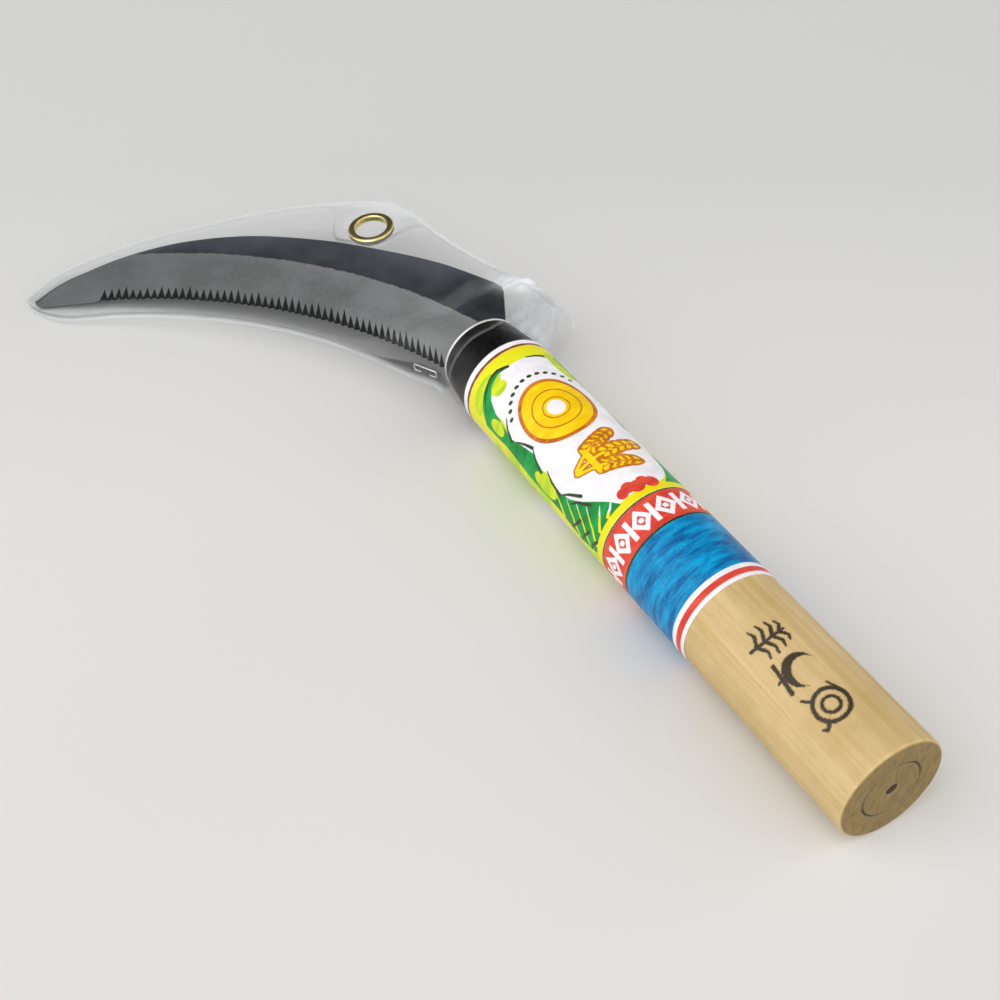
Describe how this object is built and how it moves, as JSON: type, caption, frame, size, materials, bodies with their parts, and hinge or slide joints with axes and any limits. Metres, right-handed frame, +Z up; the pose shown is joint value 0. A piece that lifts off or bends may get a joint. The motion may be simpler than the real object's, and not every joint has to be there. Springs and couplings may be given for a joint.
{
  "type": "hand sickle",
  "caption": "Hand sickle lying on its side: a saw-toothed crescent blade pinned in a round wooden handle with a ferrule, a paper label and a clear slip-off blade cover.",
  "frame": {"origin": "on the ground under the middle of the sickle's bounding box, as it lies on its side", "axes": "+X along the handle from the butt towards the blade, +Y towards the side the blade's point curves to, +Z up from the ground it lies on"},
  "size_m": [0.284, 0.1236, 0.0291],
  "materials": {
    "blade_steel": "black forge scale at the back, bright ground bevel with cut teeth",
    "pin_steel": "plain drawn wire",
    "handle_wood": "pale turned wood, sanded, unvarnished",
    "label_paper": "coated printed paper",
    "ferrule_iron": "black lacquered sheet iron with a bright rim",
    "cover_film": "clear soft plastic film with a welded border",
    "eyelet_brass": "polished",
    "staple_wire": "bright zinc"
  },
  "bodies": {
    "sickle": {"handle": "handle_wood", "label": "label_paper", "ferrule": "ferrule_iron", "blade": "blade_steel", "tang_pin": "pin_steel"},
    "cover": {"cover_top_film": "cover_film", "cover_bottom_film": "cover_film", "eyelet": "eyelet_brass", "staple": "staple_wire"}
  },
  "joints": [
    {"name": "cover_slip", "type": "hinge", "parent": "sickle", "child": "cover", "pos_m": [0.00316, 0.10086, -0.00434], "axis": [0, 0.1349, 0.9909], "range_deg": [0, 60]}
  ]
}
